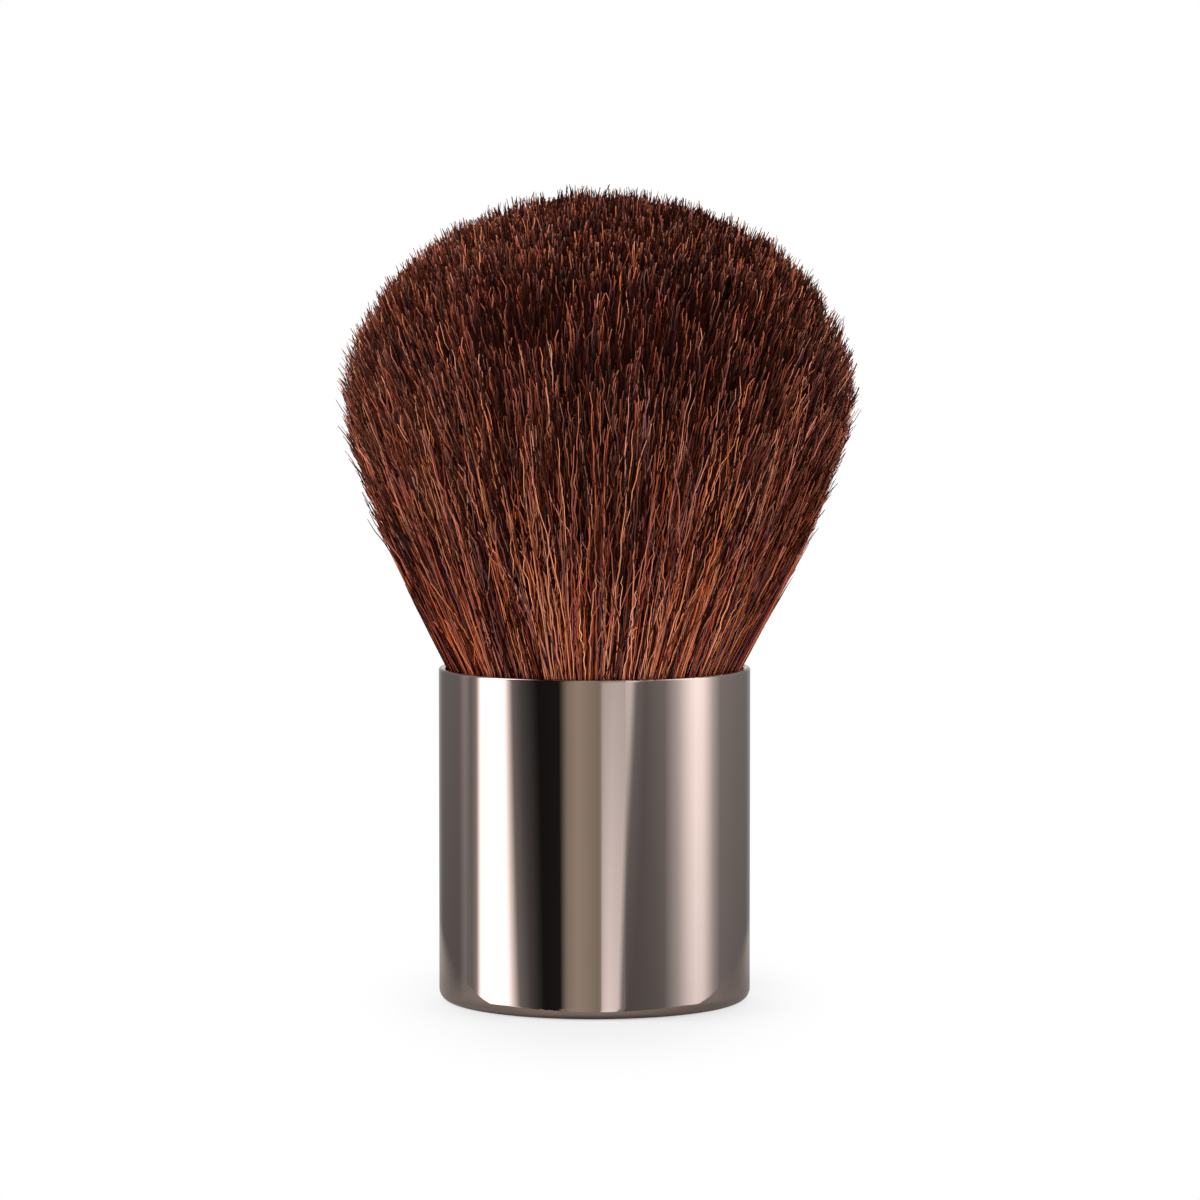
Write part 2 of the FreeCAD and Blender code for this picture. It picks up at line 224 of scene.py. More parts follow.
# How far the longest hairs pass the solid tufts, which lie at the mean level of the tips.
SIDE_TIPS = 0.7 * MM
TOP_TIPS = 1.0 * MM
HEAD_RADIUS = cad_box[1].x + SIDE_TIPS
CROWN_HEIGHT = 18.0 * MM
WIDEST_HEIGHT = cad_box[1].z + TOP_TIPS - CROWN_HEIGHT
SIDE_HEIGHT = WIDEST_HEIGHT - LIP_HEIGHT
SIDE_BEND = 1.45
LEAN = 0.014
# A hair's turn about the axis, with its jitter, the spread of widths, the kink at the root as a
# share of that at the tip, and how a hair thins to its tip.
GOLDEN_ANGLE = math.pi * (3 - math.sqrt(5))
TURN_JITTER = 0.05
THINNEST = 0.7
THICKEST = 1.3
NOISE_STEP = 3.7
ROOT_KINK = 0.25
TIP_TAPER = 0.55
TAPER_POWER = 8
# A hair's colour is one of 16 levels of its dye, a column on the chart of all dyes.
DYE_LEVELS = 16
COLUMN_MARGIN = 0.2


def new_growth(name, sizes):
    """A growth tree with a named input for each size, and the wires that carry them."""
    tree = bpy.data.node_groups.new(name, "GeometryNodeTree")
    tree.interface.new_socket("Hair", in_out="OUTPUT", socket_type="NodeSocketGeometry")
    for size in sizes:
        kind = "NodeSocketInt" if size in ("Hairs", "Seed", "Points") else "NodeSocketFloat"
        tree.interface.new_socket(size, in_out="INPUT", socket_type=kind)
    graph = Graph(tree)
    inlet = tree.nodes.new("NodeGroupInput")
    return graph, {size: Wire(graph, inlet.outputs[size]) for size in sizes}


class Strands:
    """The hairs of one growth tree: straight lines first, each with a number of its own."""

    def __init__(self, graph, hairs, seed, points):
        self.graph = graph
        self.seed = seed
        self.draws = 0
        line = graph.add("GeometryNodeCurvePrimitiveLine", None, {"End": (0.0, 0.0, 1.0)})
        line = graph.add("GeometryNodeResampleCurve", None, {"Curve": line, "Count": points})
        inputs = {"Geometry": line, "Amount": hairs}
        self.lines = graph.add("GeometryNodeDuplicateElements", {"domain": "SPLINE"}, inputs)
        self.number = Wire(graph, self.lines.socket.node.outputs["Duplicate Index"])
        self.along = graph.add("GeometryNodeSplineParameter", output="Factor")

    def chance(self, low, high):
        """A value of each hair's own, drawn evenly between two others."""
        self.draws += 1
        inputs = {"Min": low, "Max": high, "ID": self.number, "Seed": self.seed + self.draws}
        return self.graph.add("FunctionNodeRandomValue", {"data_type": "FLOAT"}, inputs)

    def scatter(self, reach):
        """A short vector of each hair's own."""
        return self.graph.vector(*(self.chance(-1.0, 1.0) * reach for _ in range(3)))

    def across(self, vector, heading):
        """What is left of a vector once its part along the hair's heading is taken out."""
        settings = {"operation": "DOT_PRODUCT"}
        forward = self.graph.add("ShaderNodeVectorMath", settings, [vector, heading], "Value")
        return vector - heading * forward

    def patches(self, place, scale):
        """A value near 0.5 that neighbouring hairs share."""
        return self.graph.add("ShaderNodeTexNoise", None, {"Vector": place, "Scale": scale, "Detail": 1.0})

    def drift(self, place, scale, reach, detail=1.0):
        """A vector that changes smoothly with place: hairs that share a place move together."""
        inputs = {"Vector": place, "Scale": scale, "Detail": detail}
        noise = self.graph.add("ShaderNodeTexNoise", None, inputs, "Color")
        return (noise - (0.5, 0.5, 0.5)) * reach

    def shape(self, root, bow, tip, heading, kinks, reach, lean):
        """Bends each line from its root, towards bow, to its tip, kinks it sideways and lets it lean."""
        graph, along = self.graph, self.along
        back = 1 - along
        curve = root * (back * back) + bow * (2 * along * back) + tip * (along * along)
        stretch = graph.vector(along * kinks, self.number * NOISE_STEP, self.seed)
        ripple = self.drift(stretch, 1.0, reach * (ROOT_KINK + (1 - ROOT_KINK) * along), 2.0)
        place = curve + self.across(ripple, heading)
        height = Wire(graph, graph.add("ShaderNodeSeparateXYZ", None, [place]).socket.node.outputs["Z"])
        place = place + graph.vector(lean * graph.function("MAXIMUM", height - LIP_HEIGHT, 0.0), 0.0, 0.0)
        self.lines = graph.add("GeometryNodeSetPosition", None, {"Geometry": self.lines, "Position": place})

    def thicken(self, width, dye, level, material):
        """Makes each line a tapered tube with three sides, mapped by its dye and its length."""
        graph = self.graph
        keep = {"data_type": "FLOAT", "domain": "POINT"}
        lines = graph.add("GeometryNodeSetCurveTilt", None,
                          {"Curve": self.lines, "Tilt": self.chance(0.0, 2 * math.pi)})
        lines = graph.add("GeometryNodeStoreNamedAttribute", keep,
                          {"Geometry": lines, "Name": "along", "Value": self.along})
        ring = graph.add("GeometryNodeCurvePrimitiveCircle", None, {"Resolution": 3, "Radius": 0.5})
        around = graph.add("GeometryNodeInputIndex") / 3
        ring = graph.add("GeometryNodeStoreNamedAttribute", keep,
                         {"Geometry": ring, "Name": "around", "Value": around})
        taper = 1.0 - TIP_TAPER * self.along ** TAPER_POWER
        tubes = graph.add("GeometryNodeCurveToMesh", None,
                          {"Curve": lines, "Profile Curve": ring, "Scale": width * taper, "Fill Caps": True})
        around = graph.add("GeometryNodeInputNamedAttribute", {"data_type": "FLOAT"}, {"Name": "around"})
        along = graph.add("GeometryNodeInputNamedAttribute", {"data_type": "FLOAT"}, {"Name": "along"})
        level = graph.add("ShaderNodeClamp", None, [level, 0.0, 0.999])
        column = graph.function("FLOOR", dye) * DYE_LEVELS + graph.function("FLOOR", level * DYE_LEVELS)
        column = column + COLUMN_MARGIN + around * (1 - COLUMN_MARGIN)
        chart = graph.vector(column / (DYE_LEVELS * len(DYES)), along, 0.0)
        mapped = graph.add("GeometryNodeStoreNamedAttribute", {"data_type": "FLOAT2", "domain": "CORNER"},
                           {"Geometry": tubes, "Name": "OFBake", "Value": chart})
        smooth = graph.add("GeometryNodeSetShadeSmooth", None, {"Geometry": mapped})
        real = graph.add("GeometryNodeRealizeInstances", None, {"Geometry": smooth})
        done = graph.add("GeometryNodeSetMaterial", None, {"Geometry": real, "Material": material})
        graph.add("NodeGroupOutput", None, {"Hair": done})


def grow(name, graph, sizes):
    """Runs a growth tree with these sizes and keeps the hair as a plain mesh."""
    piece = bpy.data.objects.new(name, bpy.data.meshes.new(name))
    bpy.context.scene.collection.objects.link(piece)
    growth = piece.modifiers.new("growth", "NODES")
    growth.node_group = graph.tree
    for item in graph.tree.interface.items_tree:
        if item.in_out == "INPUT":
            growth[item.identifier] = sizes[item.name]
    evaluated = piece.evaluated_get(bpy.context.evaluated_depsgraph_get())
    mesh = bpy.data.meshes.new_from_object(evaluated)
    piece.modifiers.clear()
    piece.data = mesh
    mesh.name = name
    for spare in ("along", "around"):
        mesh.attributes.remove(mesh.attributes[spare])
    return piece


# Each dye from its darkest hair to its palest: copper, chestnut, brown and plum black.
DYES = [
    [(0.016, 0.0030, 0.0013), (0.091, 0.0165, 0.0050), (0.420, 0.0940, 0.0310), (0.720, 0.2950, 0.1450)],
    [(0.013, 0.0024, 0.0016), (0.065, 0.0102, 0.0067), (0.270, 0.0470, 0.0280), (0.640, 0.2320, 0.1430)],
    [(0.013, 0.0033, 0.0028), (0.065, 0.0143, 0.0116), (0.286, 0.0670, 0.0480), (0.680, 0.2970, 0.1980)],
    [(0.008, 0.0034, 0.0036), (0.026, 0.0105, 0.0112), (0.078, 0.0300, 0.0310), (0.210, 0.0850, 0.0830)],
]
LAST_DYE = len(DYES) - 0.01
# One edge of each hair is painted lit and the others painted dark: painted highlight and painted shade.
# Lighter hairs have pale ends, painted as highlights.
RIDGE_LIGHT = 1.9
PALEST = 0.9
TIP_HIGHLIGHT = (0.75, 0.28, 0.155, 1)
TIP_HIGHLIGHT_POWER = 16


def dye_stops():
    """The dyes side by side along one ramp, with a sharp step between two of them."""
    stops = []
    for number, shades in enumerate(DYES):
        for step, shade in enumerate(shades):
            stops.append(((number + 0.99 * step / (len(shades) - 1)) / len(DYES), shade))
    return stops


def hair_finish(name, root_shade, root_share, tip_light):
    """Hair in mixed dyes, with painted shade near the root and a painted highlight at the end of the lighter
    hairs.
    """
    material, graph = new_material(name)
    chart = graph.add("ShaderNodeUVMap", {"uv_map": "OFBake"})
    split = graph.add("ShaderNodeSeparateXYZ", None, [chart])
    along = Wire(graph, split.socket.node.outputs["Y"])
    dyed = graph.add("ShaderNodeValToRGB", {"stops": dye_stops()}, [split])
    shades = [(0.0, (root_shade,) * 3), (root_share, (1.0,) * 3)]
    shade = graph.add("ShaderNodeValToRGB", {"stops": shades}, [along])
    settings = {"data_type": "RGBA", "blend_type": "MULTIPLY"}
    colour = graph.add("ShaderNodeMix", settings, {"Factor": 1.0, "A": dyed, "B": shade})
    level = graph.function("FRACT", split * len(DYES))
    # Painted highlight along one edge of each hair, painted shade along its other edges.
    painted_ridge = RIDGE_LIGHT - RIDGE_LIGHT * graph.function("FRACT", split * (DYE_LEVELS * len(DYES)))
    colour = graph.add("ShaderNodeVectorMath", {"operation": "MINIMUM"}, [colour * painted_ridge, (PALEST,) * 3])
    # Painted highlight: a pale colour at the ends of the lighter hairs.
    colour = graph.blend(along ** TIP_HIGHLIGHT_POWER * level * tip_light, colour, TIP_HIGHLIGHT)
    surface(graph, Base_Color=colour, Roughness=0.5, Specular_IOR_Level=0.0)
    return material


fan_hair = hair_finish("fan_hair", 1.0, 0.3, 0.5)
crown_hair = hair_finish("crown_hair", 0.10, 0.65, 0.6)


def head_spread(graph, size, height):
    """Radius of the head at a height: a half ellipse above its widest place, an easy curve below."""
    above = graph.function("MAXIMUM", (height - size["Widest height"]) / size["Crown height"], 0.0)
    below = graph.function("MAXIMUM", (size["Widest height"] - height) / size["Side height"], 0.0)
    dome = size["Head radius"] * graph.function("SQRT", 1.0 - above * above)
    return dome - (size["Head radius"] - size["Lip spread"]) * below ** SIDE_BEND


def round_axis(graph, radius, angle, height):
    """The place at a radius, an angle and a height about the brush's axis."""
    across, forward = graph.function("COSINE", angle), graph.function("SINE", angle)
    return graph.vector(radius * across, radius * forward, height)


# Scales count features in a metre. A dye power under one favours the dark dyes.
PIT_SCALE = 330.0
PIT_START = 0.45
CLUMP_SCALE = 260.0
LOCK_SCALE = 750.0
MIX_SCALE = 130.0
SHORTEST = -0.8
LONGEST = 0.5
CROWN_DARKEST = 0.02
CROWN_RANGE = 0.92
CROWN_MIX = 0.35
CROWN_DYE_POWER = 0.75
# Painted light: hairs at the sides of the head, most of all on its left, get paler dye levels, as if lit
# more from the sides and most from the left.
SIDE_PAINTED_LIGHT = 0.14
LEFT_PAINTED_LIGHT = 0.06


def crown_growth():
    """Hair ends all over the dome, each on a line from one place deep in the handle."""
    graph, size = new_growth("crown_growth", [
        "Hairs", "Seed", "Points", "Highest", "Lowest", "Head radius", "Widest height", "Crown height",
        "Side height", "Lip spread", "Fan height", "Shown", "Sunk", "Ragged", "Pit", "Clump", "Lock",
        "Stray", "Kinks", "Kink reach", "Lean", "Width", "Darkness"])
    hair = Strands(graph, size["Hairs"], size["Seed"], size["Points"])
    place = (hair.number + 0.5) / size["Hairs"]
    level = size["Highest"] + (size["Lowest"] - size["Highest"]) * place
    turn = hair.number * GOLDEN_ANGLE + hair.chance(-TURN_JITTER, TURN_JITTER)
    above = level > 0.0
    reach = above * size["Crown height"] + (1.0 - above) * size["Side height"]
    height = size["Widest height"] + level * reach
    spread = head_spread(graph, size, height)
    on_head = round_axis(graph, spread, turn, height)
    source = graph.vector(0.0, 0.0, size["Fan height"])
    heading = graph.add("ShaderNodeVectorMath", {"operation": "NORMALIZE"}, [on_head - source])
    root = on_head - heading * size["Shown"]
    pit = graph.function("MAXIMUM", hair.patches(on_head, PIT_SCALE) - PIT_START, 0.0)
    longer = hair.chance(SHORTEST, LONGEST) * size["Ragged"] - pit * size["Pit"] - size["Sunk"]
    clump = hair.drift(on_head, CLUMP_SCALE, size["Clump"])
    clump = clump + hair.drift(on_head, LOCK_SCALE, size["Lock"])
    tip = on_head + heading * longer + clump + hair.across(hair.scatter(size["Stray"]), heading)
    bow = (root + tip) * 0.5 + hair.across(hair.scatter(size["Stray"] * 0.5), heading)
    hair.shape(root, bow, tip, heading, size["Kinks"], size["Kink reach"], size["Lean"])
    level = CROWN_DARKEST + hair.chance(0.0, CROWN_RANGE) ** size["Darkness"]
    level = level + (hair.patches(on_head, MIX_SCALE) - 0.5) * CROWN_MIX
    aside = spread * graph.function("COSINE", turn) / size["Head radius"]
    # Painted light at the sides of the head, most of all on its left.
    level = level + SIDE_PAINTED_LIGHT * aside * aside - LEFT_PAINTED_LIGHT * aside
    dye = hair.chance(0.0, 1.0) ** CROWN_DYE_POWER * LAST_DYE
    hair.thicken(size["Width"] * hair.chance(THINNEST, THICKEST), dye, level, crown_hair)
    return graph


# The fan's face looks outward and down. Its hairs at the left and right sides get darker dye levels: painted
# shade.
FAN_FACE = (0.87, -0.5)
EARLY_SWERVE = 0.4
INSIDE_TIPS = 0.35
FAN_CLUMP_SCALE = 220.0
FAN_MIX = 0.4
FAN_DYE_POWER = 1.3
SIDE_PAINTED_SHADE = 0.2


def fan_growth():
    """Long hairs that leave the lip as a fan and end on the side of the head."""
    graph, size = new_growth("fan_growth", [
        "Hairs", "Seed", "Points", "Outermost", "Innermost", "Root radius", "Root height", "Slope", "Bow",
        "Head radius", "Widest height", "Crown height", "Side height", "Lip spread", "Lowest tip",
        "Highest tip", "Crossing", "Clump", "Stray", "Kinks", "Kink reach", "Lean", "Width", "Darkness"])
    hair = Strands(graph, size["Hairs"], size["Seed"], size["Points"])
    turn = hair.number * GOLDEN_ANGLE + hair.chance(-TURN_JITTER, TURN_JITTER)
    share = hair.chance(size["Innermost"], size["Outermost"])
    height = size["Lowest tip"] + (size["Highest tip"] - size["Lowest tip"]) * hair.chance(0.0, 1.0)
    root = round_axis(graph, size["Root radius"] * share, turn, size["Root height"])
    middle = size["Root height"] + (height - size["Root height"]) * size["Bow"]
    bow_radius = share * (size["Root radius"] + size["Slope"] * (middle - size["Root height"]))
    swerve = hair.chance(-1.0, 1.0)
    swerve = swerve * swerve * swerve * size["Crossing"]
    outward = round_axis(graph, FAN_FACE[0], turn, FAN_FACE[1])
    bow = round_axis(graph, bow_radius, turn + swerve * EARLY_SWERVE, middle)
    bow = bow + hair.across(hair.scatter(size["Stray"]), outward)
    tip_radius = head_spread(graph, size, height) * (INSIDE_TIPS + (1 - INSIDE_TIPS) * share)
    tip = round_axis(graph, tip_radius, turn + swerve, height)
    tip = tip + hair.drift(tip, FAN_CLUMP_SCALE, size["Clump"])
    tip = tip + hair.across(hair.scatter(size["Stray"]), outward)
    hair.shape(root, bow, tip, outward, size["Kinks"], size["Kink reach"], size["Lean"])
    level = hair.chance(0.0, 1.0) ** size["Darkness"] + (hair.patches(bow, MIX_SCALE) - 0.5) * FAN_MIX
    aside = graph.function("COSINE", turn)
    # Painted shade at the fan's left and right sides.
    level = level - SIDE_PAINTED_SHADE * aside * aside
    dye = hair.chance(0.0, 1.0) ** FAN_DYE_POWER * LAST_DYE
    hair.thicken(size["Width"] * hair.chance(THINNEST, THICKEST), dye, level, fan_hair)
    return graph


def place_hair(piece, node):
    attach(piece, "root")
    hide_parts(node)


head = {"Head radius": HEAD_RADIUS, "Widest height": WIDEST_HEIGHT, "Crown height": CROWN_HEIGHT,
        "Side height": SIDE_HEIGHT, "Lip spread": LIP_SPREAD, "Lean": LEAN}
crown = crown_growth()
crown_sizes = {**head, "Fan height": 11 * MM, "Sunk": 0.0, "Ragged": 0.9 * MM, "Pit": 3.2 * MM,
               "Clump": 1.0 * MM, "Lock": 0.6 * MM, "Stray": 0.6 * MM, "Kink reach": 1.2 * MM,
               "Width": 0.13 * MM, "Darkness": 3.4}
glint_sizes = {"Sunk": -0.15 * MM, "Width": 0.12 * MM, "Darkness": 0.5}
KINKS_PER_MM = 0.8
SEED_STEP = 100
FAN_SEED = 1000
PILE_SEED = 2000
# Name, node, hairs, highest and lowest level on the head, points and length of a hair, and sizes
# of its own.
CROWN_BANDS = [
    ("hair_crown", "core_tuft", 3500, 1.0, 0.72, 10, 6 * MM, {"Darkness": 3.5}),
    ("hair_upper", "inner_tufts", 3500, 0.72, 0.46, 10, 6 * MM, {"Darkness": 3.6}),
    ("hair_shoulder", "outer_tufts", 2900, 0.46, 0.22, 12, 9 * MM, {}),
    ("hair_brow", "outer_tufts", 2400, 0.22, 0.0, 14, 12 * MM, {}),
    ("hair_side", "outer_tufts", 2400, 0.0, -0.22, 14, 14 * MM, {}),
    ("hair_waist", "outer_tufts", 1500, -0.22, -0.5, 12, 14 * MM, {}),
    ("hair_glints", "inner_tufts", 700, 0.85, -0.3, 14, 12 * MM, glint_sizes),
]
for seed, (name, node, hairs, highest, lowest, points, shown, own) in enumerate(CROWN_BANDS):
    band = {"Hairs": hairs, "Seed": SEED_STEP * seed, "Highest": highest, "Lowest": lowest,
            "Points": points, "Shown": shown, "Kinks": KINKS_PER_MM * shown / MM, **own}
    place_hair(grow(name, crown, {**crown_sizes, **band}), node)

# Shorter, thicker ends that fill the crown between its long hairs.
pile_sizes = {**crown_sizes, "Points": 3, "Shown": 4 * MM, "Sunk": 1.0 * MM, "Ragged": 1.4 * MM,
              "Pit": 2.0 * MM, "Kinks": 3.0, "Width": 0.26 * MM, "Darkness": 3.0}
pile = {"Hairs": 11500, "Seed": PILE_SEED, "Highest": 1.0, "Lowest": 0.6}
place_hair(grow("hair_pile", crown, {**pile_sizes, **pile}), "inner_tufts")

fan = fan_growth()
fan_sizes = {**head, "Points": 18, "Root radius": ROOT_RADIUS, "Root height": ROOT_HEIGHT, "Slope": 0.52,
             "Bow": 0.62, "Crossing": 0.3, "Clump": 1.2 * MM, "Stray": 0.6 * MM, "Kinks": 13.0,
             "Kink reach": 1.2 * MM}
# Name, hairs, innermost and outermost share of the radius, lowest and highest tip, darkness, width.
# The deeper layers have darker dye levels: painted shade between the outer hairs.
FAN_LAYERS = [
    ("hair_fan_under", 1200, 0.80, 0.91, 44 * MM, 59 * MM, 3.8, 0.13 * MM),
    ("hair_fan_middle", 1500, 0.88, 0.96, 41 * MM, 57 * MM, 3.4, 0.13 * MM),
    ("hair_fan_over", 1900, 0.94, 1.0, 37 * MM, 55 * MM, 2.7, 0.12 * MM),
    ("hair_fan_short", 300, 0.97, 1.02, 33 * MM, 46 * MM, 1.0, 0.12 * MM),
    ("hair_fan_glints", 950, 0.97, 1.01, 36 * MM, 57 * MM, 0.32, 0.10 * MM),
]
for seed, (name, hairs, innermost, outermost, lowest, highest, darkness, width) in enumerate(FAN_LAYERS):
    layer = {"Hairs": hairs, "Seed": FAN_SEED + SEED_STEP * seed, "Innermost": innermost,
             "Outermost": outermost, "Lowest tip": lowest, "Highest tip": highest,
             "Darkness": darkness, "Width": width}
    place_hair(grow(name, fan, {**fan_sizes, **layer}), "outer_tufts")


# Packed heart of the hair
# Below the tips the hairs lie too close to tell apart. This closed dark body fills that space; its
# near-black colour is painted shade deep in the packed hair.


def lathe(name, outline, steps):
    """A closed body turned about the brush's axis from (radius, height) points, axis to axis."""
    body = bmesh.new()
    ring = [body.verts.new((radius, 0.0, height)) for radius, height in outline]
    edges = [body.edges.new(pair) for pair in zip(ring, ring[1:])]
    bmesh.ops.spin(body, geom=ring + edges, axis=(0, 0, 1), cent=(0, 0, 0), angle=2 * math.pi,
                   steps=steps, use_merge=True)
    bmesh.ops.remove_doubles(body, verts=body.verts, dist=1e-6)
    bmesh.ops.recalc_face_normals(body, faces=body.faces)
    for face in body.faces:
        face.smooth = True
    mesh = bpy.data.meshes.new(name)
    body.to_mesh(mesh)
    body.free()
    piece = bpy.data.objects.new(name, mesh)
    bpy.context.scene.collection.objects.link(piece)
    return piece


def packed_shade_finish():
    """Packed hair painted near-black as painted shade, with no gloss, in fine upright streaks."""
    material, graph = new_material("packed_hair_painted_shade")
    place = graph.add("ShaderNodeTexCoord", output="Object")
    drawn = graph.add("ShaderNodeVectorMath", {"operation": "MULTIPLY"}, [place, (1.0, 1.0, 0.15)])
    streak = graph.add("ShaderNodeTexNoise", None, {"Vector": drawn, "Scale": 2500.0, "Detail": 3.0})
    colour = graph.blend(streak ** 3, (0.008, 0.0016, 0.0012, 1), (0.100, 0.0200, 0.0135, 1))
    surface(graph, Base_Color=colour, Roughness=0.8, Specular_IOR_Level=0.0)
    return material


SIDE_DEPTH = 2.6 * MM
TOP_DEPTH = 1.3 * MM
BASE_HEIGHT = LIP_HEIGHT - 2 * MM
BASE_RADIUS = ROOT_RADIUS * 0.82
HEART_SIDES = 96
heart_outline = [(0.0, BASE_HEIGHT), (BASE_RADIUS, BASE_HEIGHT)]
for share in (0.15, 0.35, 0.55, 0.75, 0.95):
    spread = HEAD_RADIUS - (HEAD_RADIUS - LIP_SPREAD) * (1 - share) ** SIDE_BEND
    heart_outline.append((spread - SIDE_DEPTH, LIP_HEIGHT + SIDE_HEIGHT * share))
for degrees in range(5, 90, 10):
    turn = math.radians(degrees)
    radius = (HEAD_RADIUS - SIDE_DEPTH) * math.cos(turn)
    heart_outline.append((radius, WIDEST_HEIGHT + (CROWN_HEIGHT - TOP_DEPTH) * math.sin(turn)))
heart_outline.append((0.0, WIDEST_HEIGHT + CROWN_HEIGHT - TOP_DEPTH))
heart = lathe("hair_heart", heart_outline, HEART_SIDES)
heart.data.materials.append(packed_shade_finish())
place_hair(heart, "core_tuft")


# Studio
# A pale floor, soft boxes all round, a low card in front, and a screen round the brush whose light
# and dark panels only polished metal reflects.


def stage(name, mesh, material):
    thing = bpy.data.objects.new(name, mesh)
    thing.data.materials.append(material)
    bpy.context.scene.collection.objects.link(thing)
    return thing


PAPER = (0.50, 0.50, 0.50, 1)
# The paper is darker in the metal than to the camera: painted shade in its reflection near the foot.
PAPER_SHADED_IN_METAL = (0.260, 0.247, 0.234, 1)
SHADOW_STRETCH = (2.2, 1.0, 1.0)
SHADOW_NEAR = 10 * MM
SHADOW_FAR = 50 * MM
SHADOW_WHITE = 0.45
PATCH_BACK = 28 * MM
PATCH_WIDTH = 40 * MM
PATCH_DEPTH = 43 * MM
FADE_START = 0.62
FADE_FRONT = -10 * MM
FADE_BACK = 5 * MM


def smooth_rise(graph, value, low, high, least=0.0):
    """From least up to one, while a value goes from low to high."""
    inputs = {"Value": value, "From Min": low, "From Max": high, "To Min": least, "To Max": 1.0}
    return graph.add("ShaderNodeMapRange", {"interpolation_type": "SMOOTHSTEP"}, inputs)


def pale_floor():
    """White paper. The camera sees its white, and the shadow near the foot. The metal sees a patch of
    it round the foot, which fades out behind the brush."""
    material, graph = new_material("pale_floor")
    seen = graph.add("ShaderNodeLightPath", output="Is Camera Ray")
    in_metal = Wire(graph, seen.socket.node.outputs["Is Glossy Ray"])
    place = graph.add("ShaderNodeTexCoord", output="Object")
    stretched = graph.add("ShaderNodeVectorMath", {"operation": "MULTIPLY"}, [place, SHADOW_STRETCH])
    away = graph.add("ShaderNodeVectorMath", {"operation": "LENGTH"}, [stretched], "Value")
    clear = smooth_rise(graph, away, SHADOW_NEAR, SHADOW_FAR, SHADOW_WHITE)
    # Painted shade: the metal sees the paper darker.
    colour = graph.blend(in_metal, PAPER, PAPER_SHADED_IN_METAL)
    paper = graph.add("ShaderNodeBsdfDiffuse", None, {"Color": colour})
    white = graph.add("ShaderNodeEmission", None, {"Color": (1, 1, 1, 1), "Strength": 1.0})
    mixed = graph.add("ShaderNodeMixShader", None, [seen * clear, paper, white])
    from_middle = place - (0.0, PATCH_BACK, 0.0)
    patch_size = (PATCH_WIDTH, PATCH_DEPTH, 1.0)
    shares = graph.add("ShaderNodeVectorMath", {"operation": "DIVIDE"}, [from_middle, patch_size])
    share = graph.add("ShaderNodeVectorMath", {"operation": "LENGTH"}, [shares], "Value")
    faint = smooth_rise(graph, share, FADE_START, 1.0)
    depth = Wire(graph, graph.add("ShaderNodeSeparateXYZ", None, [place]).socket.node.outputs["Y"])
    behind = smooth_rise(graph, depth, FADE_FRONT, FADE_BACK)
    nothing = graph.add("ShaderNodeBsdfTransparent")
    mixed = graph.add("ShaderNodeMixShader", None, [in_metal * faint * behind, mixed, nothing])
    graph.add("ShaderNodeOutputMaterial", None, {"Surface": mixed})
    return material


FLOOR_REACH = 4.0
PATCH_SIDES = 96


def floor_meshes():
    """The floor near the foot, which the metal shows, and the rest of it round that patch."""
    edge = []
    for i in range(PATCH_SIDES):
        angle = 2 * math.pi * i / PATCH_SIDES
        edge.append((math.cos(angle), math.sin(angle)))
    near = [(PATCH_WIDTH * x, PATCH_BACK + PATCH_DEPTH * y, 0.0) for x, y in edge]
    far = [(FLOOR_REACH * x, FLOOR_REACH * y, 0.0) for x, y in edge]
    patch = bpy.data.meshes.new("floor_patch")
    patch.from_pydata(near, [], [list(range(PATCH_SIDES))])
    rest = bpy.data.meshes.new("floor")
    quads = []
    for i in range(PATCH_SIDES):
        j = (i + 1) % PATCH_SIDES
        quads.append((i, PATCH_SIDES + i, PATCH_SIDES + j, j))
    rest.from_pydata(near + far, [], quads)
    return patch, rest


patch_mesh, floor_mesh = floor_meshes()
paper_white = pale_floor()
stage("floor_patch", patch_mesh, paper_white)
floor = stage("floor", floor_mesh, paper_white)
floor.visible_glossy = False

# Light level round the brush, by angle in degrees from the camera towards the photo's right.
BRIGHTEST = 3.0
PLAIN = (1.0, 1.0, 1.0)
WARM = (1.0, 0.91, 0.77)
PANELS = [
    (-180, 0.6, PLAIN), (-165, 0.35, PLAIN), (-150, 0.19, PLAIN), (-118, 0.22, PLAIN), (-110, 0.42, PLAIN),
    (-102, 0.25, PLAIN), (-96, 0.45, PLAIN), (-91, 3.0, PLAIN), (-69, 3.0, PLAIN), (-65, 1.5, PLAIN),
    (-61, 0.30, PLAIN), (-53, 0.125, PLAIN), (-40, 0.015, PLAIN), (-25, 0.02, PLAIN), (-19.5, 0.43, WARM),
    (-12, 0.59, WARM), (4, 0.39, WARM), (6, 0.97, PLAIN), (12, 1.14, PLAIN), (22.5, 1.0, PLAIN),
    (27.5, 0.27, PLAIN), (36, 0.195, PLAIN), (52, 0.29, PLAIN), (63, 0.80, PLAIN), (72.5, 1.6, PLAIN),
    (79.5, 1.98, PLAIN), (86.5, 1.80, PLAIN), (97, 0.75, PLAIN), (105, 0.36, PLAIN), (150, 0.22, PLAIN),
    (168, 0.4, PLAIN), (180, 0.6, PLAIN),
]
SCREEN_RADIUS = 0.5
SCREEN_LOW = -1.0
SCREEN_HIGH = 1.0
SCREEN_SIDES = 180
SCREEN_MIDDLE = -30 * MM
LIFT_LIMIT = 50 * MM
# Where the panels' edges slant: angle, reach, and degrees for each metre of height.
SLANTS = [(25.0, 18.0, 260.0), (-50.0, 28.0, -150.0)]
# Where the light grows with height: side (1 is right), angle it starts at, and share for each metre.
GAINS = [(1, 22.5, 13.0), (1, 5.0, -8.0), (-1, 105.0, 5.0)]


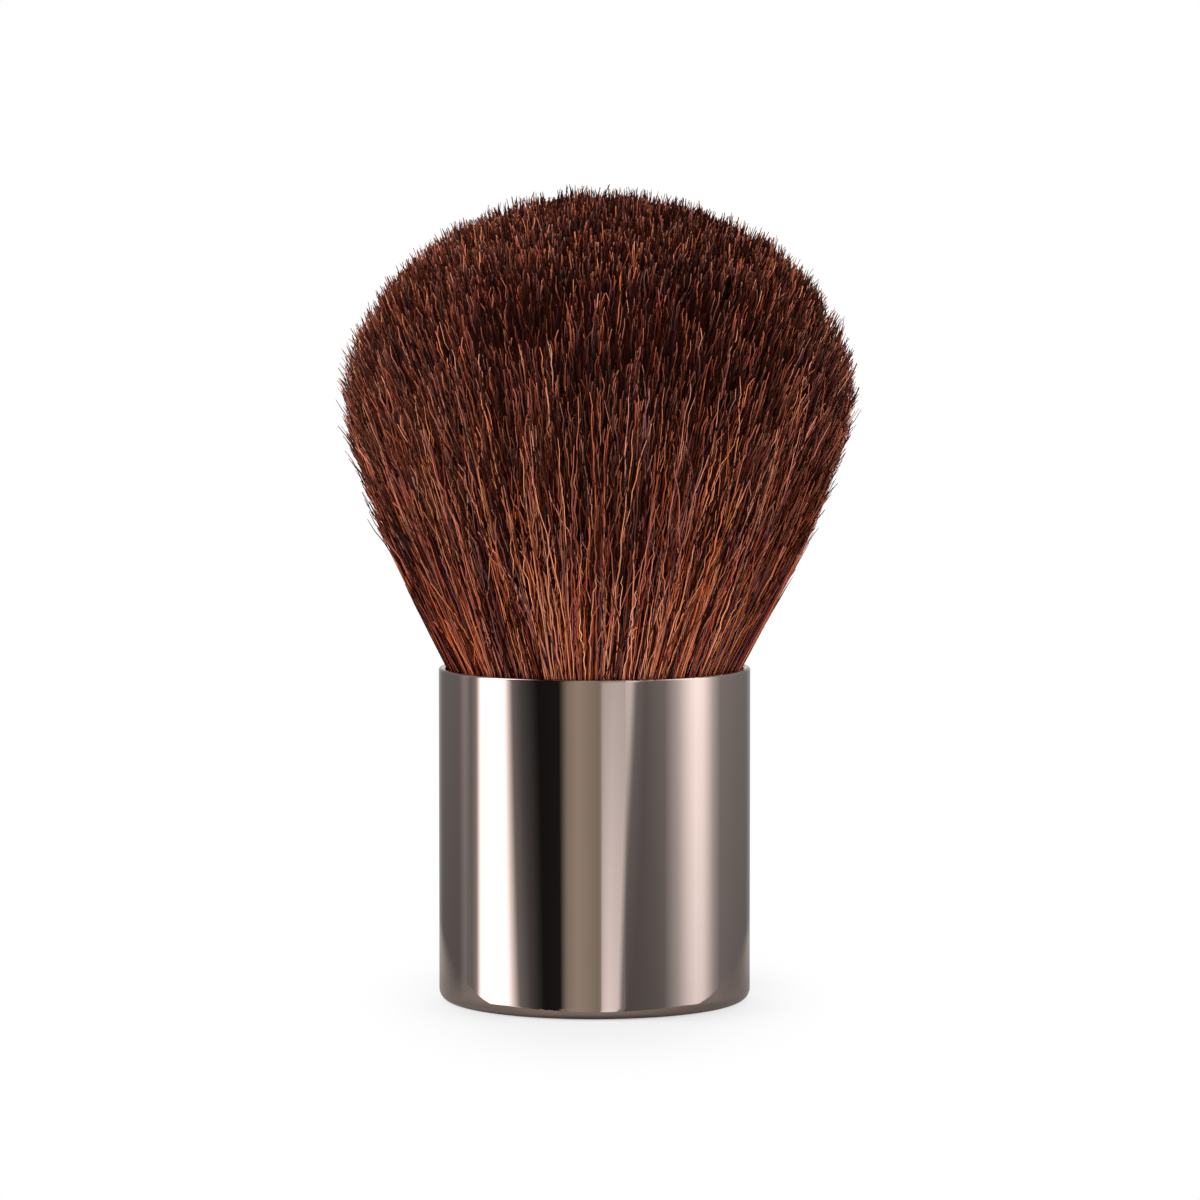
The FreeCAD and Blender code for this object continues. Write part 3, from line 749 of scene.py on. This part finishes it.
def screen_light():
    """The panels by angle. Their edges slant and their light changes a little with height."""
    material, graph = new_material("screen_light")
    place = graph.add("ShaderNodeTexCoord", output="Object")
    split = graph.add("ShaderNodeSeparateXYZ", None, [place])
    ends = split.socket.node.outputs
    turn = graph.function("ARCTAN2", Wire(graph, ends["X"]), 0.0 - Wire(graph, ends["Y"]))
    turn = turn * (180 / math.pi)
    lift = graph.function("MINIMUM", Wire(graph, ends["Z"]) - SCREEN_MIDDLE, LIFT_LIMIT)
    lift = graph.function("MAXIMUM", lift, -LIFT_LIMIT)
    gained, shift = 0.0, 0.0
    for side, angle, share in GAINS:
        gained = gained + share * (side * turn > angle)
    for angle, reach, slant in SLANTS:
        apart = graph.function("ABSOLUTE", turn - angle)
        inputs = {"Value": apart, "From Max": reach, "To Min": 1.0, "To Max": 0.0}
        shift = shift + slant * graph.add("ShaderNodeMapRange", None, inputs)
    turn = turn - shift * lift
    stops = []
    for degrees, level, tint in PANELS:
        stops.append(((degrees + 180) / 360, [level * part / BRIGHTEST for part in tint]))
    ramp = graph.add("ShaderNodeValToRGB", {"stops": stops}, [turn / 360 + 0.5])
    colour = ramp * (1.0 + gained * lift)
    glow = graph.add("ShaderNodeEmission", None, {"Color": colour, "Strength": BRIGHTEST})
    graph.add("ShaderNodeOutputMaterial", None, {"Surface": glow})
    return material


screen_mesh = bpy.data.meshes.new("screen")
corners, panes = [], []
for i in range(SCREEN_SIDES):
    angle = 2 * math.pi * i / SCREEN_SIDES
    x, y = SCREEN_RADIUS * math.cos(angle), SCREEN_RADIUS * math.sin(angle)
    corners += [(x, y, SCREEN_LOW), (x, y, SCREEN_HIGH)]
    low, following = 2 * i, 2 * ((i + 1) % SCREEN_SIDES)
    panes.append((low, following, following + 1, low + 1))
screen_mesh.from_pydata(corners, [], panes)
screen = stage("screen", screen_mesh, screen_light())
screen.visible_camera = False
screen.visible_diffuse = False
screen.visible_transmission = False
screen.visible_shadow = False

LAMP_AIM = 40 * MM


def soft_box(name, azimuth, elevation, distance, width, height, level):
    """A soft box that faces the hair, as bright as level times white paper."""
    lamp = bpy.data.lights.new(name, "AREA")
    lamp.shape = "RECTANGLE"
    lamp.size = width
    lamp.size_y = height
    lamp.energy = level * math.pi * width * height
    box = bpy.data.objects.new(name, lamp)
    turn, lift = math.radians(azimuth), math.radians(elevation)
    flat = distance * math.cos(lift)
    box.location = (flat * math.sin(turn), -flat * math.cos(turn), LAMP_AIM + distance * math.sin(lift))
    box.rotation_euler = (math.pi / 2 - lift, 0.0, turn)
    box.visible_camera = False
    box.visible_glossy = False
    bpy.context.scene.collection.objects.link(box)


# Name, degrees round from the camera, degrees up, distance, width, height, level.
LAMPS = [
    ("left_box", -80, 42, 0.7, 0.45, 0.6, 6.5),
    ("right_box", 80, 38, 0.7, 0.45, 0.6, 4.6),
    ("front_box", 0, 22, 0.7, 0.5, 0.5, 4.7),
    ("back_box", 180, 40, 0.7, 0.5, 0.5, 4.5),
    ("front_card", 0, -8, 0.22, 0.45, 0.12, 2.8),
]
for lamp_sizes in LAMPS:
    soft_box(*lamp_sizes)

world = bpy.data.worlds.new("studio")
bpy.context.scene.world = world
world.use_nodes = True
sky = Graph(world.node_tree)
seen = sky.add("ShaderNodeLightPath", output="Is Camera Ray")
rays = seen.socket.node.outputs
for other in ("Is Glossy Ray", "Is Transmission Ray"):
    seen = sky.function("MAXIMUM", seen, Wire(sky, rays[other]))
AMBIENT = 0.12
strength = AMBIENT + (1 - AMBIENT) * seen
glow = sky.add("ShaderNodeBackground", None, {"Color": (1, 1, 1, 1), "Strength": strength})
sky.add("ShaderNodeOutputWorld", None, {"Surface": glow})

CAMERA_PLACE = (0.49 * MM, -480.5 * MM, 70.1 * MM)
CAMERA_DIP = 4.06
camera = bpy.data.cameras.new("camera")
camera.sensor_width = 36.0
camera.lens = 160.95
eye = bpy.data.objects.new("camera", camera)
eye.location = CAMERA_PLACE
eye.rotation_euler = (math.radians(90 - CAMERA_DIP), 0.0, 0.0)
bpy.context.scene.collection.objects.link(eye)
bpy.context.scene.camera = eye
bpy.context.scene.view_settings.view_transform = "Standard"
